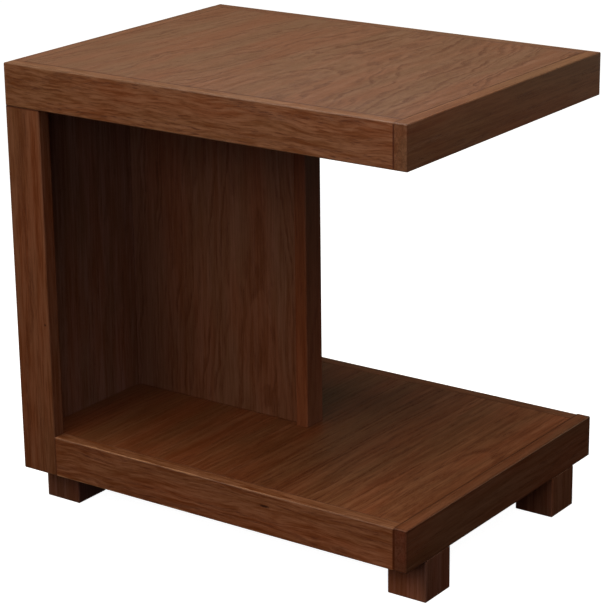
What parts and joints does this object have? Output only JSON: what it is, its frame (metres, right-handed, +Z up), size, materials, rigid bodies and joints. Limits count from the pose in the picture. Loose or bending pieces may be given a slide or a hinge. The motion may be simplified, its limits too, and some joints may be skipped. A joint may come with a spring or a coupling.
{
  "type": "end table with shelf",
  "caption": "C-shaped oak end table: a thick top on one side panel, open on the other side, with a low shelf on block feet and a short upright divider.",
  "frame": {"origin": "on the floor, under the middle of the table's outline", "axes": "+X towards the open side, +Y from the front to the back, +Z up"},
  "size_m": [0.61, 0.456, 0.61],
  "materials": {
    "oak_solid": "brown-stained solid oak, satin lacquer",
    "oak_veneer": "brown-stained oak veneer on board, satin lacquer",
    "core_timber": "planed softwood, bare",
    "beech_dowel": "beech, bare",
    "screw_steel": "zinc-plated steel"
  },
  "bodies": {
    "root": {"back_left_foot": "oak_solid", "back_right_foot": "oak_solid", "divider_board": "oak_veneer", "divider_end_lip": "oak_solid", "divider_to_side_dowels": "beech_dowel", "foot_screws": "screw_steel", "front_left_foot": "oak_solid", "front_right_foot": "oak_solid", "shelf_back_lip": "oak_solid", "shelf_core_back_rail": "core_timber", "shelf_core_cross_rib": "core_timber", "shelf_core_front_rail": "core_timber", "shelf_core_left_rail": "core_timber", "shelf_core_long_rib": "core_timber", "shelf_core_right_rail": "core_timber", "shelf_front_lip": "oak_solid", "shelf_lower_skin": "oak_veneer", "shelf_right_lip": "oak_solid", "shelf_to_divider_dowels": "beech_dowel", "shelf_to_side_dowels": "beech_dowel", "shelf_upper_skin": "oak_veneer", "side_back_lip": "oak_solid", "side_board": "oak_veneer", "side_front_lip": "oak_solid", "top_back_lip": "oak_solid", "top_core_back_rail": "core_timber", "top_core_cross_rib": "core_timber", "top_core_front_rail": "core_timber", "top_core_left_rail": "core_timber", "top_core_long_rib": "core_timber", "top_core_right_rail": "core_timber", "top_front_lip": "oak_solid", "top_left_lip": "oak_solid", "top_lower_skin": "oak_veneer", "top_right_lip": "oak_solid", "top_to_divider_dowels": "beech_dowel", "top_to_side_dowels": "beech_dowel", "top_upper_skin": "oak_veneer"}
  },
  "joints": []
}
